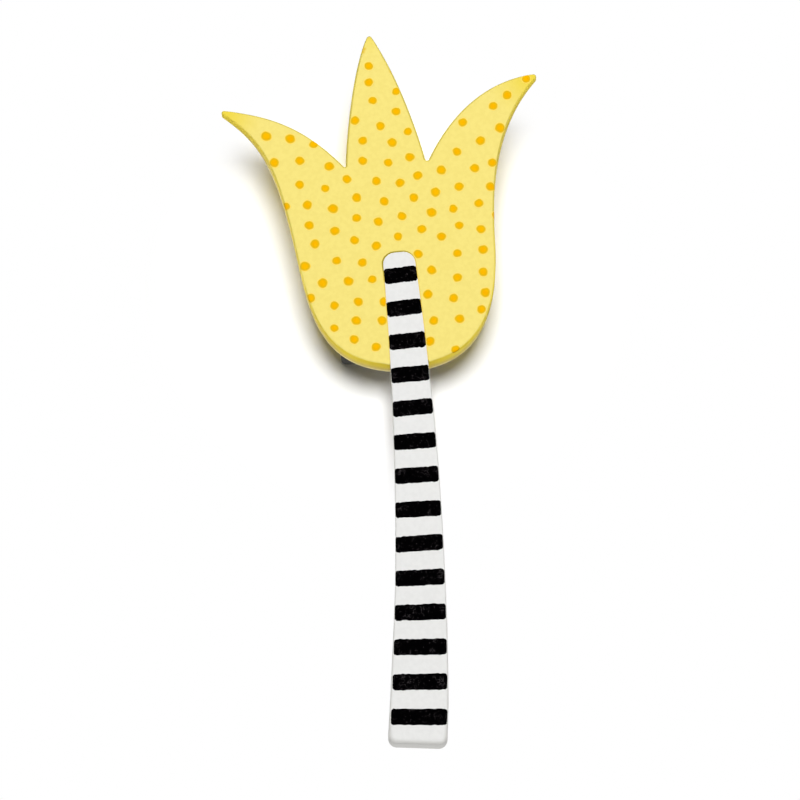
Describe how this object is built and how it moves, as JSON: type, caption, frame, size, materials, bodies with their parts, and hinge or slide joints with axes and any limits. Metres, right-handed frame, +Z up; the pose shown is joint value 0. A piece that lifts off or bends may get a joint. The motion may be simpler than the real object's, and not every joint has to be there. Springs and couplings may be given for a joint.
{
  "type": "painted wooden flower magnet",
  "caption": "Flat wooden flower cut-out, yellow with orange dots, on a black and white striped stem let into its lower edge; a magnet behind it holds it to steel.",
  "frame": {"origin": "centre of the magnet's back face, the face that lies on the steel surface", "axes": "+Z up along the stem towards the petals, +Y out of the back into the steel surface, the painted face looks along -Y"},
  "size_m": [0.0804, 0.0126, 0.1861],
  "materials": {
    "yellow_paint": "satin yellow acrylic with orange dots, on a sawn board",
    "white_paint": "satin white acrylic with black stripes, on a sawn board",
    "white_foam": "closed-cell adhesive foam",
    "ferrite": "bare sintered ferrite, dark grey"
  },
  "bodies": {
    "root": {"flower_board": "yellow_paint", "stem": "white_paint", "foam_pad": "white_foam", "magnet_block": "ferrite"}
  },
  "joints": []
}
